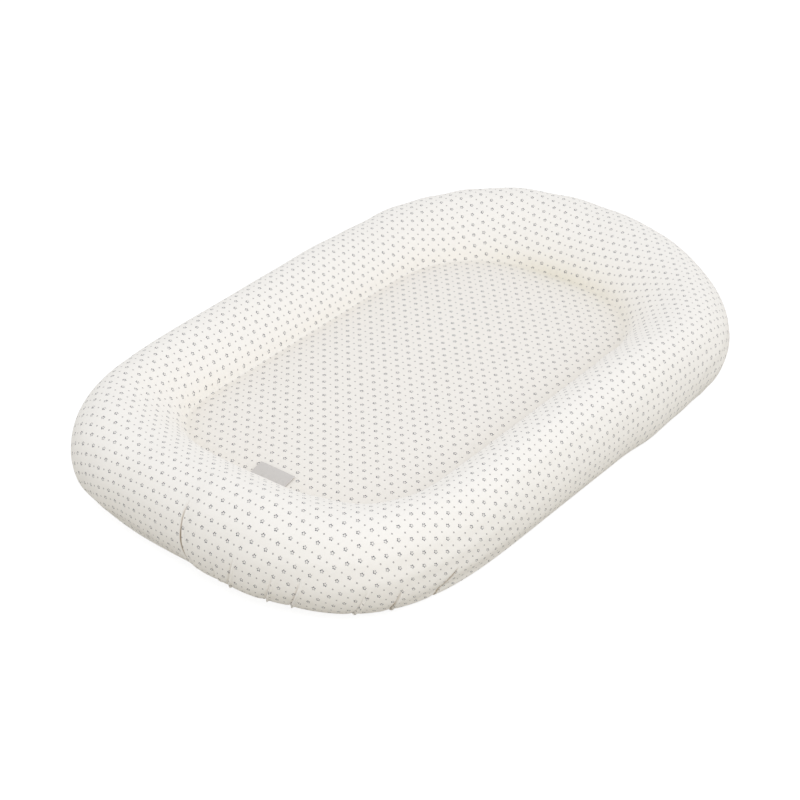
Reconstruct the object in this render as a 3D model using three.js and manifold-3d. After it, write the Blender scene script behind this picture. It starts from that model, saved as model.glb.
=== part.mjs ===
// Infant lounger: a stuffed oval bumper sewn round a padded mat, with a zip on the underside.
// Millimetres, +Z up, +X towards the head end, +Y to the far side, origin on the floor
// under the middle. Run with Node and the packages three and manifold-3d.

import * as THREE from 'three';
import { mergeVertices } from 'three/addons/utils/BufferGeometryUtils.js';
import Module from 'manifold-3d';

const wasm = await Module();
wasm.setup();

// Units

const mm = 1;
const quarterTurn = Math.PI / 2;

// Overall sizes, over the widest reach of the bumper, the width half way along it

const length = 900 * mm;
const width = 556 * mm;
const bumperHeight = 115 * mm;

// Outline of the bumper seen from above: straight stretches and rounded ends

const bumperStraightToHead = 222 * mm;
const bumperStraightToFoot = 152 * mm;
const bumperHeadExponent = 1.7;
const bumperFootExponent = 3.3;
const headWideningShare = 0.04;

// Width of the bumper between the mat's seam and its widest reach

const bumperWidthAtHead = 161 * mm;
const bumperWidthAtFoot = 131 * mm;
const bumperWidthAtSide = 110 * mm;

// Outline of the mat's seam

const seamStraightToHead = 127 * mm;
const seamStraightToFoot = 200 * mm;
const seamHeadExponent = 2.46;
const seamFootExponent = 3;

// Heights in the bumper's section

const seamHeight = 57 * mm;
const bulgeHeight = 52 * mm;
const matBaseHeight = 10 * mm;

// Shape of the bumper's section, as shares of its width and powers of its quarters

const crestShare = 0.57;
const floorOuterShare = 0.62;
const floorInnerShare = 0.3;
const innerSlopeExponent = 1.45;
const outerExponent = 2.1;

// Cloth, and the gaps that sewn and resting faces keep

const cloth = 1.2 * mm;
const gap = 0.3 * mm;

// Mat

const matCrown = 8 * mm;
const matCrownExponent = 5;
const padEdgeRound = 4 * mm;
const padEdgeDrop = 7 * mm;
const padSideSlack = 1 * mm;

// Binding tape over the raw edges in the mat's seam, and tape in the base's outer seam

const bindingThickness = 1.2 * mm;
const bindingDepth = 9 * mm;
const bindingRecess = 1 * mm;
const edgeTapeThickness = 1 * mm;

// Gathers at the foot end, as shares of a turn from the head tip over the far side

const gatherTurnShares = [0.502, 0.527, 0.547, 0.559, 0.586, 0.603, 0.628];
const gatherDepth = 5 * mm;
const gatherHalfWidth = 11 * mm;

// Woven label in the seam at the foot end

const labelLength = 50 * mm;
const labelReach = 22 * mm;
const labelThickness = 0.8 * mm;
const labelOffset = -7 * mm;
const labelSeamInset = 3 * mm;

// Care label on the underside of the base

const careLabelLength = 45 * mm;
const careLabelWidth = 30 * mm;
const careLabelThickness = 0.6 * mm;
const careLabelFromSeam = 24 * mm;

// Zip in the base

const zipFromHeadSeam = 79 * mm;
const zipFromFootSeam = 109 * mm;
const zipSlotHalfWidth = 10 * mm;
const zipSlotEnd = 2 * mm;
const zipTapeWidth = 14 * mm;
const zipTapeThickness = 0.8 * mm;
const zipTapeTail = 14 * mm;
const coilWidth = 2.5 * mm;
const coilHeight = 2.2 * mm;
const coilHalfGap = 0.9 * mm;
const stopLength = 3 * mm;
const stopWall = 0.6 * mm;
const padGrooveMargin = 3 * mm;

// Zip slider and its pull

const slideClearance = 0.3 * mm;
const sliderLength = 12 * mm;
const sliderWidth = 9 * mm;
const sliderPlate = 1 * mm;
const sliderPostLength = 3 * mm;
const lugThickness = 1.2 * mm;
const lugWall = 0.5 * mm;
const pinRadius = 0.6 * mm;
const eyeWall = 0.7 * mm;
const pullNeckWidth = 4 * mm;
const pullNeckLength = 4 * mm;
const pullTipWidth = 7 * mm;
const pullLength = 22 * mm;
const pullThickness = 1.4 * mm;

// Fineness of the meshes, and the reach of cuts past a face

const evenStations = 48;
const outlineSteps = 160;
const roundSides = 20;
const labelSteps = 4;
const smallShare = 0.001;
const overrun = 2 * mm;

// Materials

const printedCotton = new THREE.MeshStandardMaterial({ color: 0xf3f0ea, roughness: 0.95, metalness: 0 });
const plainCotton = new THREE.MeshStandardMaterial({ color: 0xf0ede6, roughness: 0.95, metalness: 0 });
const fibre = new THREE.MeshStandardMaterial({ color: 0xffffff, roughness: 1, metalness: 0 });
const cottonTape = new THREE.MeshStandardMaterial({ color: 0xebe7de, roughness: 0.9, metalness: 0 });
const wovenGrey = new THREE.MeshStandardMaterial({ color: 0xcfcbc6, roughness: 0.85, metalness: 0 });
const satin = new THREE.MeshStandardMaterial({ color: 0xf7f6f3, roughness: 0.6, metalness: 0 });
const nylon = new THREE.MeshStandardMaterial({ color: 0xf1eee8, roughness: 0.45, metalness: 0 });
const lacqueredZinc = new THREE.MeshStandardMaterial({ color: 0xe9e6df, roughness: 0.4, metalness: 0.3 });

const group = new THREE.Group();

function addPart(name, geometry, material) {
  const mesh = new THREE.Mesh(geometry, material);
  mesh.name = name;
  group.add(mesh);
  return mesh;
}

// Joining and cutting closed meshes

function toSolid(geometry) {
  const bare = geometry.clone();
  bare.deleteAttribute('normal');
  bare.deleteAttribute('uv');
  const merged = mergeVertices(bare, smallShare * gap);
  return new wasm.Manifold(new wasm.Mesh({
    numProp: 3,
    vertProperties: new Float32Array(merged.attributes.position.array),
    triVerts: new Uint32Array(merged.index.array),
  }));
}

function toGeometry(solid) {
  const mesh = solid.getMesh();
  const geometry = new THREE.BufferGeometry();
  geometry.setAttribute('position', new THREE.BufferAttribute(mesh.vertProperties, 3));
  geometry.setIndex(new THREE.BufferAttribute(mesh.triVerts, 1));
  geometry.computeVertexNormals();
  return geometry;
}

function boxGeometry(from, to) {
  const box = new THREE.BoxGeometry(to[0] - from[0], to[1] - from[1], to[2] - from[2]);
  box.translate((to[0] + from[0]) / 2, (to[1] + from[1]) / 2, (to[2] + from[2]) / 2);
  return box;
}

function boxSolid(from, to) {
  return toSolid(boxGeometry(from, to));
}

// Cylinder along Y about the origin

function crossCylinder(radius, across) {
  return toSolid(new THREE.CylinderGeometry(radius, radius, across, roundSides));
}

// Outlines seen from above, in quarters that start at a tip and end at a side

function quarterPowers(share, exponent) {
  const angle = quarterTurn * share;
  return {
    falling: Math.max(Math.cos(angle), 0) ** (2 / exponent),
    rising: Math.sin(angle) ** (2 / exponent),
  };
}

function quarterPoints(reach, halfWidth, straight, exponent) {
  const points = [];
  for (let i = 0; i <= outlineSteps; i++) {
    const { falling, rising } = quarterPowers(i / outlineSteps, exponent);
    points.push(new THREE.Vector2(straight + (reach - straight) * falling, halfWidth * rising));
  }
  points.push(new THREE.Vector2(0, halfWidth));
  const lengths = [0];
  for (let i = 1; i < points.length; i++) {
    lengths.push(lengths[i - 1] + points[i].distanceTo(points[i - 1]));
  }
  return { points, lengths, total: lengths[lengths.length - 1] };
}

const bumperOutline = {
  head: quarterPoints(length / 2, width / 2, bumperStraightToHead, bumperHeadExponent),
  foot: quarterPoints(length / 2, width / 2, bumperStraightToFoot, bumperFootExponent),
  wideningShare: headWideningShare,
};

const seamHeadReach = length / 2 - bumperWidthAtHead;
const seamFootReach = length / 2 - bumperWidthAtFoot;
const seamHalfWidth = width / 2 - bumperWidthAtSide;

const seamOutline = {
  head: quarterPoints(seamHeadReach, seamHalfWidth, seamStraightToHead, seamHeadExponent),
  foot: quarterPoints(seamFootReach, seamHalfWidth, seamStraightToFoot, seamFootExponent),
  wideningShare: 0,
};

function pointAlong(quarter, share) {
  const target = share * quarter.total;
  let i = 1;
  while (i < quarter.points.length - 1 && quarter.lengths[i] < target) i++;
  const part = (target - quarter.lengths[i - 1]) / (quarter.lengths[i] - quarter.lengths[i - 1]);
  return quarter.points[i - 1].clone().lerp(quarter.points[i], part);
}

// Point on an outline at a share of a turn: 0 head tip, 0.25 far side, 0.5 foot tip

function outlinePoint(outline, turn) {
  const wrapped = turn - Math.floor(turn);
  const quarter = Math.min(Math.floor(wrapped * 4), 3);
  const within = wrapped * 4 - quarter;
  const atHead = quarter === 0 || quarter === 3;
  const fromTip = quarter === 0 || quarter === 2 ? within : 1 - within;
  const point = pointAlong(atHead ? outline.head : outline.foot, fromTip);
  if (!atHead) point.x = -point.x;
  if (quarter >= 2) point.y = -point.y;
  point.y *= 1 + outline.wideningShare * (point.x / (length / 2));
  return point;
}

// The bumper's section by place: 0 at the seam, 1 the crest, 2 the widest reach, 3 the outer
// edge of the floor face, 4 its inner edge, 5 where the base meets the underside of the mat

const creaseHalfWidth = bindingThickness / 2 + gap;
const lastPlaceShare = 5;

function sectionPoint(reach, place) {
  const crest = crestShare * reach;
  const floorOuter = floorOuterShare * reach;
  const floorInner = floorInnerShare * reach;
  const leg = Math.min(Math.floor(place), lastPlaceShare - 1);
  const share = place - leg;
  if (leg === 0) {
    const { falling, rising } = quarterPowers(share, innerSlopeExponent);
    const out = creaseHalfWidth + (crest - creaseHalfWidth) * (1 - falling);
    return new THREE.Vector2(out, seamHeight + (bumperHeight - seamHeight) * rising);
  }
  if (leg === 1) {
    const { falling, rising } = quarterPowers(share, outerExponent);
    const up = bulgeHeight + (bumperHeight - bulgeHeight) * falling;
    return new THREE.Vector2(crest + (reach - crest) * rising, up);
  }
  if (leg === 2) {
    const { falling, rising } = quarterPowers(share, outerExponent);
    return new THREE.Vector2(floorOuter + (reach - floorOuter) * falling, bulgeHeight * (1 - rising));
  }
  if (leg === 3) return new THREE.Vector2(floorOuter + (floorInner - floorOuter) * share, 0);
  const up = matBaseHeight * THREE.MathUtils.smoothstep(share, 0, 1);
  return new THREE.Vector2(floorInner * (1 - share), up);
}

// Gathers: how deep the nearest one is at a station, and how it fades up the bumper's face

const gatherFadeInShares = { from: 1.6, to: 2.4 };
const gatherFadeOutShares = { from: 2.85, to: 3 };

function gatherDepthAt(reachPoint) {
  let depth = 0;
  for (const gatherTurn of gatherTurnShares) {
    const distance = outlinePoint(bumperOutline, gatherTurn).distanceTo(reachPoint);
    depth = Math.max(depth, gatherDepth * (1 - distance / gatherHalfWidth));
  }
  return depth;
}

function gatherFade(place) {
  const risen = THREE.MathUtils.smoothstep(place, gatherFadeInShares.from, gatherFadeInShares.to);
  return risen * (1 - THREE.MathUtils.smoothstep(place, gatherFadeOutShares.from, gatherFadeOutShares.to));
}

// Stations round the bumper: even ones, and three at each gather

function stationTurns() {
  const perimeter = 2 * (bumperOutline.head.total + bumperOutline.foot.total);
  const step = gatherHalfWidth / perimeter;
  const gatherTurns = gatherTurnShares.flatMap((turn) => [turn - step, turn, turn + step]);
  const evenTurns = Array.from({ length: evenStations }, (_, i) => i / evenStations);
  const isClear = (turn) => gatherTurns.every((other) => Math.abs(other - turn) > step);
  const clearTurns = evenTurns.filter(isClear);
  return [...gatherTurns, ...clearTurns].sort((a, b) => a - b);
}

function makeStation(turn) {
  const seam = outlinePoint(seamOutline, turn);
  const outer = outlinePoint(bumperOutline, turn);
  const outward = outer.clone().sub(seam);
  const reach = outward.length();
  const ahead = outlinePoint(seamOutline, turn + smallShare);
  const along = ahead.sub(outlinePoint(seamOutline, turn - smallShare)).normalize();
  return {
    seam,
    reach,
    outward: outward.normalize(),
    normal: new THREE.Vector2(along.y, -along.x),
    gather: gatherDepthAt(outer),
  };
}

const stations = stationTurns().map(makeStation);

// Points in space at a station: on the bumper's section, square to the seam, and over the mat

function spacePoint(from, direction, out, height) {
  return new THREE.Vector3(from.x + direction.x * out, from.y + direction.y * out, height);
}

function sectionSlope(reach, place) {
  const before = sectionPoint(reach, Math.max(place - smallShare, 0));
  const after = sectionPoint(reach, Math.min(place + smallShare, lastPlaceShare));
  return after.sub(before).normalize();
}

function bumperPoint(station, place, inset) {
  const point = sectionPoint(station.reach, place);
  const slope = sectionSlope(station.reach, place);
  const depth = inset + station.gather * gatherFade(place);
  return spacePoint(station.seam, station.outward, point.x + slope.y * depth, point.y - slope.x * depth);
}

function seamPoint(station, out, height) {
  return spacePoint(station.seam, station.normal, out, height);
}

function scaledSeamPoint(station, share, height) {
  return new THREE.Vector3(station.seam.x * share, station.seam.y * share, height);
}

// Place that lies a short way on from another along the section

function placeBeyond(station, place, distance) {
  const here = sectionPoint(station.reach, place);
  const there = sectionPoint(station.reach, place + smallShare);
  return place + (smallShare * distance) / here.distanceTo(there);
}

// Two triangles over four corners. Both faces of a sheet, and what lies against it, split
// along the same diagonal, so that they stay a gap apart: on the way back it is mirrored.

function splitQuad(a, b, c, d, mirrored) {
  return mirrored ? [a, b, d, b, c, d] : [a, b, c, a, c, d];
}

// Closed ring made of one loop of points at each station

function ringGeometry(loopAt, isMirrored) {
  const loops = stations.map(loopAt);
  const count = loops[0].length;
  const index = [];
  for (let i = 0; i < loops.length; i++) {
    const next = (i + 1) % loops.length;
    for (let j = 0; j < count; j++) {
      const after = (j + 1) % count;
      const near = [i * count + j, i * count + after];
      const far = [next * count + j, next * count + after];
      index.push(...splitQuad(near[0], far[0], far[1], near[1], isMirrored(j)));
    }
  }
  return outwardFacing(loops.flat(), index);
}

// Closed disc made of rings, from its top centre over the edge to its bottom centre

function discGeometry(topCentre, ringsAt, bottomCentre, isMirrored) {
  const rings = ringsAt.map((ringAt) => stations.map(ringAt));
  const count = stations.length;
  const last = 1 + rings.length * count;
  const index = [];
  for (let j = 0; j < count; j++) {
    const next = (j + 1) % count;
    index.push(0, 1 + j, 1 + next);
    for (let i = 0; i < rings.length - 1; i++) {
      const a = 1 + i * count + j;
      const b = 1 + i * count + next;
      index.push(...splitQuad(a, a + count, b + count, b, isMirrored(i)));
    }
    index.push(last, last - count + next, last - count + j);
  }
  const centre = (height) => new THREE.Vector3(0, 0, height);
  return outwardFacing([centre(topCentre), ...rings.flat(), centre(bottomCentre)], index);
}

function outwardFacing(points, index) {
  let volume = 0;
  for (let i = 0; i < index.length; i += 3) {
    const across = points[index[i + 1]].clone().cross(points[index[i + 2]]);
    volume += points[index[i]].dot(across);
  }
  const geometry = new THREE.BufferGeometry().setFromPoints(points);
  geometry.setIndex(volume < 0 ? index.slice().reverse() : index);
  geometry.computeVertexNormals();
  return geometry;
}

// Printed cover: one skin from the mat's seam over the bumper to the base's outer seam

const upperPlaceShares = [0, 0.28, 0.6, 1, 1.4, 1.72, 2, 2.3];
const outerSeamPlaceShare = 2.65;
const edgeTapePlaceShares = [2.56, outerSeamPlaceShare, 2.74];

function skinRing(places, inset, thickness) {
  const loopAt = (station) => {
    const outside = places.map((place) => bumperPoint(station, place, inset));
    const inside = places.map((place) => bumperPoint(station, place, inset + thickness));
    return [...outside, ...inside.reverse()];
  };
  return ringGeometry(loopAt, (j) => j >= places.length);
}

function bumperCover() {
  return skinRing([...upperPlaceShares, edgeTapePlaceShares[0], outerSeamPlaceShare], 0, cloth);
}

// Tape behind the base's outer seam, inside the cloth

function outerSeamTape() {
  return skinRing(edgeTapePlaceShares, cloth + gap, edgeTapeThickness);
}

// Fibre filling: the room inside the cover, the base and the inner wall

const wallHalfThickness = cloth / 2;
const fillingTapePlaceShares = [2.54, 2.76];
const floorPlaceShares = [3, 4, 4.35, 4.65];

function bumperFilling() {
  const inset = cloth + gap;
  const tapeInset = inset + edgeTapeThickness + gap;
  const innerFace = wallHalfThickness + gap;
  const bottom = matBaseHeight + cloth + gap;
  const loopAt = (station) => [
    ...upperPlaceShares.map((place) => bumperPoint(station, place, inset)),
    ...fillingTapePlaceShares.map((place) => bumperPoint(station, place, tapeInset)),
    ...floorPlaceShares.map((place) => bumperPoint(station, place, inset)),
    seamPoint(station, innerFace, bottom),
    seamPoint(station, innerFace, seamHeight - cloth - gap),
  ];
  return ringGeometry(loopAt, () => false);
}

// Inner wall of the bumper's channel and the binding of the mat's seam, one over the other

const bindingTop = seamHeight - bindingRecess;
const bindingBottom = bindingTop - bindingDepth;

function standingStrip(halfThickness, bottom, top) {
  const loopAt = (station) => [
    seamPoint(station, halfThickness, bottom),
    seamPoint(station, halfThickness, top),
    seamPoint(station, -halfThickness, top),
    seamPoint(station, -halfThickness, bottom),
  ];
  return ringGeometry(loopAt, () => false);
}

// Mat: printed top panel over a crowned pad

const matRingShares = [0.5, 0.8, 0.93];

function matTopHeight(share) {
  return seamHeight + matCrown * (1 - share ** matCrownExponent);
}

function matSheetRings(drop) {
  const inner = matRingShares.map((share) => (
    (station) => scaledSeamPoint(station, share, matTopHeight(share) - drop)));
  return [...inner, (station) => seamPoint(station, -creaseHalfWidth, seamHeight - drop)];
}

function matTopPanel() {
  const upper = matSheetRings(0);
  const rings = [...upper, ...matSheetRings(cloth).reverse()];
  return discGeometry(matTopHeight(0), rings, matTopHeight(0) - cloth, (i) => i >= upper.length);
}

const baseTop = matBaseHeight + cloth;
const padBottom = baseTop + gap;
const padTopDrop = cloth + gap;

// Zip: heights of its pieces on the base, and its places along the mat

const tapeBottom = baseTop + gap;
const tapeMiddle = tapeBottom + zipTapeThickness / 2;
const coilBottom = tapeMiddle - coilHeight / 2;
const coilTop = tapeMiddle + coilHeight / 2;
const coilOuter = coilHalfGap + coilWidth;
const tapeInner = coilOuter + gap;
const tapeOuter = tapeInner + zipTapeWidth;
const sliderInnerHalf = coilHeight / 2 + slideClearance;
const sliderOuterHalf = sliderInnerHalf + sliderPlate;
const zipHead = seamHeadReach - zipFromHeadSeam;
const zipFoot = -seamFootReach + zipFromFootSeam;
const slotPastZip = gap + stopLength + zipSlotEnd;

function matPad() {
  const edge = creaseHalfWidth + padSideSlack;
  const bottom = padBottom;
  const top = seamHeight - padTopDrop;
  const rings = [
    ...matRingShares.map((share) => (
      (station) => scaledSeamPoint(station, share, matTopHeight(share) - padTopDrop))),
    (station) => seamPoint(station, -(edge + padEdgeRound), top),
    (station) => seamPoint(station, -edge, top - padEdgeDrop),
    (station) => seamPoint(station, -creaseHalfWidth, (top + bottom) / 2),
    (station) => seamPoint(station, -edge, bottom + padEdgeDrop),
    (station) => seamPoint(station, -(edge + padEdgeRound), bottom),
  ];
  const pad = toSolid(discGeometry(matTopHeight(0) - padTopDrop, rings, bottom, () => false));
  const groovePastZip = zipTapeTail + padGrooveMargin;
  const grooveY = tapeOuter + padGrooveMargin;
  const grooveTop = tapeMiddle + sliderOuterHalf + slideClearance;
  const groove = boxSolid(
    [zipFoot - groovePastZip, -grooveY, bottom - overrun],
    [zipHead + groovePastZip, grooveY, grooveTop],
  );
  return toGeometry(pad.subtract(groove));
}

// Base: one sheet from the outer seam over the floor face to the underside of the mat,
// split along the middle and open at the zip

const basePlaceShares = [lastPlaceShare, ...floorPlaceShares.slice().reverse(), edgeTapePlaceShares[2]];

function baseSheetRings(inset) {
  const edgeRing = (station) => bumperPoint(station, placeBeyond(station, outerSeamPlaceShare, gap), inset);
  return [...basePlaceShares.map((place) => (station) => bumperPoint(station, place, inset)), edgeRing];
}

function baseSheet() {
  const upper = baseSheetRings(cloth);
  const rings = [...upper, ...baseSheetRings(0).reverse()];
  return toSolid(discGeometry(baseTop, rings, matBaseHeight, (i) => i < upper.length));
}

function basePanels() {
  const sheet = baseSheet();
  const high = matBaseHeight + cloth + overrun;
  const slot = boxSolid(
    [zipFoot - slotPastZip, -zipSlotHalfWidth, -overrun],
    [zipHead + slotPastZip, zipSlotHalfWidth, high],
  );
  const open = sheet.subtract(slot);
  const farHalf = boxSolid([-length, gap / 2, -overrun], [length, width, bumperHeight]);
  const nearHalf = boxSolid([-length, -width, -overrun], [length, -gap / 2, bumperHeight]);
  return { far: toGeometry(open.intersect(farHalf)), near: toGeometry(open.intersect(nearHalf)) };
}

// Woven label: a strip that follows the mat from the seam at the foot end

function wovenLabel() {
  const start = -seamFootReach + labelSeamInset;
  const heightAt = (x) => matTopHeight(Math.min(-x / seamFootReach, 1)) + gap;
  const section = [];
  for (let i = 0; i <= labelSteps; i++) {
    const x = start + labelReach * (i / labelSteps);
    section.push(new THREE.Vector2(x, heightAt(x)));
  }
  const upper = section.map((point) => new THREE.Vector2(point.x, point.y + labelThickness));
  const shape = new THREE.Shape([...section, ...upper.reverse()]);
  const strip = new THREE.ExtrudeGeometry(shape, { depth: labelLength, bevelEnabled: false });
  strip.rotateX(quarterTurn);
  strip.translate(0, labelOffset + labelLength / 2, 0);
  return toGeometry(toSolid(strip));
}

// Care label: lies against the underside of the base, sewn in its middle seam

function careLabel() {
  const start = -seamFootReach + careLabelFromSeam;
  const top = matBaseHeight - gap;
  return boxGeometry(
    [start, gap, top - careLabelThickness],
    [start + careLabelLength, gap + careLabelWidth, top],
  );
}

// Zip pieces, mirrored across the middle

function zipTape(side) {
  const [inner, outer] = side > 0 ? [tapeInner, tapeOuter] : [-tapeOuter, -tapeInner];
  return boxGeometry(
    [zipFoot - zipTapeTail, inner, tapeBottom],
    [zipHead + zipTapeTail, outer, tapeBottom + zipTapeThickness],
  );
}

function zipCoil(side) {
  const [inner, outer] = side > 0 ? [coilHalfGap, coilOuter] : [-coilOuter, -coilHalfGap];
  return boxGeometry([zipFoot, inner, coilBottom], [zipHead, outer, coilTop]);
}

function topStop(side) {
  const from = zipHead + gap;
  const [inner, outer] = side > 0 ? [coilHalfGap, coilOuter] : [-coilOuter, -coilHalfGap];
  return boxGeometry(
    [from, inner, coilBottom - stopWall],
    [from + stopLength, outer, coilTop + stopWall],
  );
}

function bottomStop() {
  const to = zipFoot - gap;
  return boxGeometry(
    [to - stopLength, -coilOuter, coilBottom - stopWall],
    [to, coilOuter, coilTop + stopWall],
  );
}

// Slider: two plates held by a post between the coils, with lugs and a pin for the pull,
// drawn about the middle of the coils

const eyeRadius = pinRadius + slideClearance + eyeWall;
const pinDrop = sliderOuterHalf + slideClearance + eyeRadius;
const pinFromFront = sliderLength / 2 - pinRadius - lugWall;
const postHalfWidth = coilHalfGap - slideClearance;

function zipSlider() {
  const halfLength = sliderLength / 2;
  const halfWidth = sliderWidth / 2;
  const lugInner = pullNeckWidth / 2 + slideClearance;
  const lugOuter = lugInner + lugThickness;
  const lugReach = pinRadius + lugWall;
  const upper = boxSolid(
    [-halfLength, -halfWidth, sliderInnerHalf],
    [halfLength, halfWidth, sliderOuterHalf],
  );
  const lower = boxSolid(
    [-halfLength, -halfWidth, -sliderOuterHalf],
    [halfLength, halfWidth, -sliderInnerHalf],
  );
  const post = boxSolid(
    [halfLength - sliderPostLength, -postHalfWidth, -sliderOuterHalf],
    [halfLength, postHalfWidth, sliderOuterHalf],
  );
  const lug = boxSolid(
    [pinFromFront - lugReach, lugInner, -pinDrop - lugReach],
    [pinFromFront + lugReach, lugOuter, -sliderInnerHalf],
  );
  const pin = crossCylinder(pinRadius, 2 * lugOuter).translate([pinFromFront, 0, -pinDrop]);
  const body = upper.add(lower).add(post).add(lug).add(lug.mirror([0, 1, 0])).add(pin);
  return toGeometry(body);
}

// Pull: an eye about the pin and a tab that widens past the lugs, drawn about the pin

function zipPull() {
  const halfNeck = pullNeckWidth / 2;
  const halfTip = pullTipWidth / 2;
  const halfThickness = pullThickness / 2;
  const outline = new THREE.Shape();
  outline.moveTo(0, -halfNeck);
  outline.lineTo(0, halfNeck);
  outline.lineTo(-pullNeckLength, halfNeck);
  outline.lineTo(-pullLength + halfTip, halfTip);
  outline.absarc(-pullLength + halfTip, 0, halfTip, quarterTurn, 3 * quarterTurn, false);
  outline.lineTo(-pullNeckLength, -halfNeck);
  const settings = { depth: pullThickness, bevelEnabled: false, curveSegments: roundSides / 2 };
  const tab = toSolid(new THREE.ExtrudeGeometry(outline, settings)).translate([0, 0, -halfThickness]);
  const eye = crossCylinder(eyeRadius, pullNeckWidth);
  const bore = crossCylinder(pinRadius + slideClearance, pullNeckWidth + overrun);
  return toGeometry(tab.add(eye).subtract(bore));
}

// The whole lounger, the slider at the closed end of its travel near the head end

const base = basePanels();
const innerWall = standingStrip(wallHalfThickness, baseTop + gap, bindingBottom - gap);
const seamBinding = standingStrip(bindingThickness / 2, bindingBottom, bindingTop);
const sliderRest = zipHead - sliderLength / 2 - slideClearance;

addPart('bumper_cover', bumperCover(), printedCotton);
addPart('bumper_filling', bumperFilling(), fibre);
addPart('bumper_inner_wall', innerWall, plainCotton);
addPart('mat_seam_binding', seamBinding, cottonTape);
addPart('mat_top_panel', matTopPanel(), printedCotton);
addPart('mat_pad', matPad(), fibre);
addPart('base_panel_far', base.far, plainCotton);
addPart('base_panel_near', base.near, plainCotton);
addPart('outer_seam_tape', outerSeamTape(), cottonTape);
addPart('woven_label', wovenLabel(), wovenGrey);
addPart('care_label', careLabel(), satin);
addPart('zip_tape_far', zipTape(1), cottonTape);
addPart('zip_tape_near', zipTape(-1), cottonTape);
addPart('zip_coil_far', zipCoil(1), nylon);
addPart('zip_coil_near', zipCoil(-1), nylon);
addPart('zip_top_stop_far', topStop(1), nylon);
addPart('zip_top_stop_near', topStop(-1), nylon);
addPart('zip_bottom_stop', bottomStop(), nylon);

const slider = addPart('zip_slider', zipSlider(), lacqueredZinc);
slider.position.set(sliderRest, 0, tapeMiddle);
const pull = addPart('zip_pull', zipPull(), lacqueredZinc);
pull.position.set(sliderRest + pinFromFront, 0, tapeMiddle - pinDrop);

export default group;
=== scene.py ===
"""Looks of the infant lounger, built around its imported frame.

Metres in the frame of the CAD part: +X towards the head end, +Y to the far side, +Z up.
"""

import math

import bpy
import numpy as np
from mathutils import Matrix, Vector


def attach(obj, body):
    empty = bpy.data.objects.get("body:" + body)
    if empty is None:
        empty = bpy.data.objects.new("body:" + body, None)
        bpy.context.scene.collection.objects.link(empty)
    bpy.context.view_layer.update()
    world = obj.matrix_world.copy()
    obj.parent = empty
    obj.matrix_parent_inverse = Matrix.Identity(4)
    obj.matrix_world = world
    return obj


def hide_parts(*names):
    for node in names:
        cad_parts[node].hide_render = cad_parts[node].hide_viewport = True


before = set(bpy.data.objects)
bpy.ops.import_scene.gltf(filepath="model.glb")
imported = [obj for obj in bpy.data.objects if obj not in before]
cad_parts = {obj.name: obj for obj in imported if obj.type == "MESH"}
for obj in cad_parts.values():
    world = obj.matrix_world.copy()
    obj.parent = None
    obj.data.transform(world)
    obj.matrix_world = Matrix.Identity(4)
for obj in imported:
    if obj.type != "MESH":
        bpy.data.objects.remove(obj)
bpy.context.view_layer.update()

MM = 0.001
FULL_CIRCLE = 2 * math.pi

# Sizes of the part, as its source has them

LENGTH = 900 * MM
WIDTH = 556 * MM
BUMPER_HEIGHT = 115 * MM
BUMPER_STRAIGHT_TO_HEAD = 222 * MM
BUMPER_STRAIGHT_TO_FOOT = 152 * MM
BUMPER_HEAD_EXPONENT = 1.7
BUMPER_FOOT_EXPONENT = 3.3
HEAD_WIDENING_SHARE = 0.04
BUMPER_WIDTH_AT_HEAD = 161 * MM
BUMPER_WIDTH_AT_FOOT = 131 * MM
BUMPER_WIDTH_AT_SIDE = 110 * MM
SEAM_STRAIGHT_TO_HEAD = 127 * MM
SEAM_STRAIGHT_TO_FOOT = 200 * MM
SEAM_HEAD_EXPONENT = 2.46
SEAM_FOOT_EXPONENT = 3
SEAM_HEIGHT = 57 * MM
BULGE_HEIGHT = 52 * MM
MAT_BASE_HEIGHT = 10 * MM
CREST_SHARE = 0.57
FLOOR_OUTER_SHARE = 0.62
FLOOR_INNER_SHARE = 0.3
INNER_SLOPE_EXPONENT = 1.45
OUTER_EXPONENT = 2.1
CLOTH = 1.2 * MM
GAP = 0.3 * MM
MAT_CROWN = 8 * MM
MAT_CROWN_EXPONENT = 5
OUTER_SEAM_PLACE = 2.65
LAST_PLACE = 5
BINDING_HALF = 0.6 * MM
BINDING_DEPTH = 9 * MM
EDGE_TAPE = 1 * MM
EDGE_TAPE_PLACES = (2.56, 2.74)
LABEL_LENGTH = 50 * MM
LABEL_REACH = 26 * MM
LABEL_THICKNESS = 0.8 * MM
LABEL_OFFSET = -6.6 * MM
CARE_LENGTH = 45 * MM
CARE_WIDTH = 30 * MM
CARE_THICKNESS = 0.6 * MM
CARE_FROM_SEAM = 24 * MM
ZIP_HEAD = 210 * MM
ZIP_FOOT = -210 * MM
ZIP_SLOT_HALF_WIDTH = 10 * MM
ZIP_SLOT_PAST = 5.3 * MM
ZIP_TAPE_WIDTH = 14 * MM
ZIP_TAPE_THICKNESS = 0.8 * MM
ZIP_TAPE_TAIL = 14 * MM
COIL_WIDTH = 2.5 * MM
COIL_HEIGHT = 2.2 * MM
COIL_HALF_GAP = 0.9 * MM

SEAM_HEAD_REACH = LENGTH / 2 - BUMPER_WIDTH_AT_HEAD
SEAM_FOOT_REACH = LENGTH / 2 - BUMPER_WIDTH_AT_FOOT
SEAM_HALF_WIDTH = WIDTH / 2 - BUMPER_WIDTH_AT_SIDE
INSIDE_BOTTOM = MAT_BASE_HEIGHT + CLOTH + GAP
TAPE_MIDDLE = INSIDE_BOTTOM + ZIP_TAPE_THICKNESS / 2
TAPE_INNER = COIL_HALF_GAP + COIL_WIDTH + GAP
SLOT_HEAD = ZIP_HEAD + ZIP_SLOT_PAST
SLOT_FOOT = ZIP_FOOT - ZIP_SLOT_PAST
FOOT_TURN = 0.5
SIDES = ((1, "far"), (-1, "near"))

# Fineness of the meshes

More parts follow.
